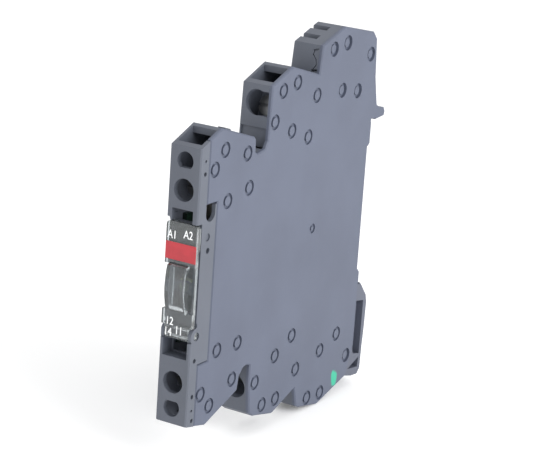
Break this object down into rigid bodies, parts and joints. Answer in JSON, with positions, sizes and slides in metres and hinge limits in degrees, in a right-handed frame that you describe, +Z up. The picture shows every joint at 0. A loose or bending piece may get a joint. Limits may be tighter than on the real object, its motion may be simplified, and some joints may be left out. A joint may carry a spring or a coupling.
{
  "type": "slim din rail control relay",
  "caption": "Slim stepped relay module for a top-hat rail, with tiered screw clamps, a clear front lever and a sprung rail foot.",
  "frame": {"origin": "middle of the face that seats on the rail, half way between the hook and the foot", "axes": "+X from the base shell towards the side cover, +Y out of the rail seat towards the rail, +Z up along the tall side; the front with the lever faces -Y"},
  "size_m": [0.0068, 0.0691, 0.0786],
  "materials": {
    "housing": "fine moulded",
    "cover": "fine moulded",
    "foot": "fine moulded",
    "spring_steel": "drawn wire",
    "clear_plastic": "clear polycarbonate",
    "red_label": "printed band",
    "label_plate": "satin",
    "led": "diffused",
    "board": "solder mask",
    "chip": "moulded",
    "absorber": "dipped",
    "can": "brushed can",
    "relay_plastic": "fine moulded",
    "relay_floor": "moulded",
    "bobbin": "moulded",
    "copper_wire": "enamelled winding",
    "soft_iron": "plated",
    "card": "moulded",
    "contact_spring": "rolled bronze",
    "tin": "tinned",
    "screw": "zinc plated",
    "cage": "zinc plated",
    "bar": "tinned copper alloy"
  },
  "bodies": {
    "housing": {"base_shell": "housing", "side_cover": "cover", "foot_spring": "spring_steel", "marker_plate": "label_plate", "light_guide": "clear_plastic", "status_led": "led", "circuit_board": "board", "rectifier": "chip", "surge_absorber": "absorber", "resistor_a": "chip", "resistor_b": "chip", "capacitor": "can", "relay_case": "relay_plastic", "relay_base": "relay_floor", "coil_bobbin": "bobbin", "coil_winding": "copper_wire", "coil_core": "soft_iron", "yoke": "soft_iron", "common_pin": "contact_spring", "make_contact": "contact_spring", "break_contact": "contact_spring", "coil_pin_a": "tin", "coil_pin_b": "tin", "a1_bar": "bar", "a2_bar": "bar", "c14_bar": "bar", "c12_bar": "bar", "c11_bar": "bar"},
    "lever": {"ejector_lever": "clear_plastic", "colour_band": "red_label"},
    "foot": {"rail_foot": "foot"},
    "armature": {"armature": "soft_iron"},
    "card": {"actuator_card": "card"},
    "leaf": {"common_leaf": "contact_spring"},
    "a1_screw_body": {"a1_screw": "screw"},
    "a1_cage_body": {"a1_cage": "cage"},
    "a2_screw_body": {"a2_screw": "screw"},
    "a2_cage_body": {"a2_cage": "cage"},
    "c14_screw_body": {"c14_screw": "screw"},
    "c14_cage_body": {"c14_cage": "cage"},
    "c12_screw_body": {"c12_screw": "screw"},
    "c12_cage_body": {"c12_cage": "cage"},
    "c11_screw_body": {"c11_screw": "screw"},
    "c11_cage_body": {"c11_cage": "cage"}
  },
  "joints": [
    {"name": "lever_hinge", "type": "hinge", "parent": "housing", "child": "lever", "pos_m": [0, -0.0605, -0.0139], "axis": [1, 0, 0], "range_deg": [0, 62]},
    {"name": "foot_slide", "type": "slide", "parent": "housing", "child": "foot", "axis": [0, 0, -1], "range_m": [0, 0.0025], "stiffness_N_per_m": 1500, "springref_m": -0.002, "deforming": ["foot_spring"]},
    {"name": "armature_hinge", "type": "hinge", "parent": "housing", "child": "armature", "pos_m": [0, -0.02908, -0.0027], "axis": [1, 0, 0], "range_deg": [0, 3.95]},
    {"name": "card_slide", "type": "slide", "parent": "housing", "child": "card", "axis": [0, -1, 0], "range_m": [0, 0.0005], "stiffness_N_per_m": 120, "springref_m": -0.0003},
    {"name": "leaf_hinge", "type": "hinge", "parent": "housing", "child": "leaf", "pos_m": [0, -0.0235, -0.00555], "axis": [1, 0, 0], "range_deg": [0, 2.8]},
    {"name": "a1_screw_turn", "type": "hinge", "parent": "housing", "child": "a1_screw_body", "pos_m": [0, -0.0594, 0.0137], "axis": [0, 1, 0], "range_deg": [0, 1281]},
    {"name": "a1_cage_slide", "type": "slide", "parent": "housing", "child": "a1_cage_body", "axis": [0, -1, 0], "range_m": [0, 0.0016]},
    {"name": "a2_screw_turn", "type": "hinge", "parent": "housing", "child": "a2_screw_body", "pos_m": [0, -0.03635, 0.02561], "axis": [0, 0.9563, -0.2924], "range_deg": [0, 1281]},
    {"name": "a2_cage_slide", "type": "slide", "parent": "housing", "child": "a2_cage_body", "axis": [0, -0.9563, 0.2924], "range_m": [0, 0.0016]},
    {"name": "c14_screw_turn", "type": "hinge", "parent": "housing", "child": "c14_screw_body", "pos_m": [0, -0.0594, -0.0231], "axis": [0, 1, 0], "range_deg": [0, 1281]},
    {"name": "c14_cage_slide", "type": "slide", "parent": "housing", "child": "c14_cage_body", "axis": [0, -1, 0], "range_m": [0, 0.0016]},
    {"name": "c12_screw_turn", "type": "hinge", "parent": "housing", "child": "c12_screw_body", "pos_m": [0, -0.03836, -0.02881], "axis": [0, 0.9397, 0.342], "range_deg": [0, 1281]},
    {"name": "c12_cage_slide", "type": "slide", "parent": "housing", "child": "c12_cage_body", "axis": [0, -0.9397, -0.342], "range_m": [0, 0.0016]},
    {"name": "c11_screw_turn", "type": "hinge", "parent": "housing", "child": "c11_screw_body", "pos_m": [0, -0.0226, -0.034], "axis": [0, 0.9397, 0.342], "range_deg": [0, 1281]},
    {"name": "c11_cage_slide", "type": "slide", "parent": "housing", "child": "c11_cage_body", "axis": [0, -0.9397, -0.342], "range_m": [0, 0.0016]}
  ],
  "couplings": [
    {"joint": "armature_hinge", "follows": "card_slide", "rad_per_m": 132.4},
    {"joint": "leaf_hinge", "follows": "card_slide", "rad_per_m": 95.2},
    {"joint": "a1_screw_turn", "follows": "a1_cage_slide", "rad_per_m": 13963},
    {"joint": "a2_screw_turn", "follows": "a2_cage_slide", "rad_per_m": 13963},
    {"joint": "c14_screw_turn", "follows": "c14_cage_slide", "rad_per_m": 13963},
    {"joint": "c12_screw_turn", "follows": "c12_cage_slide", "rad_per_m": 13963},
    {"joint": "c11_screw_turn", "follows": "c11_cage_slide", "rad_per_m": 13963}
  ]
}
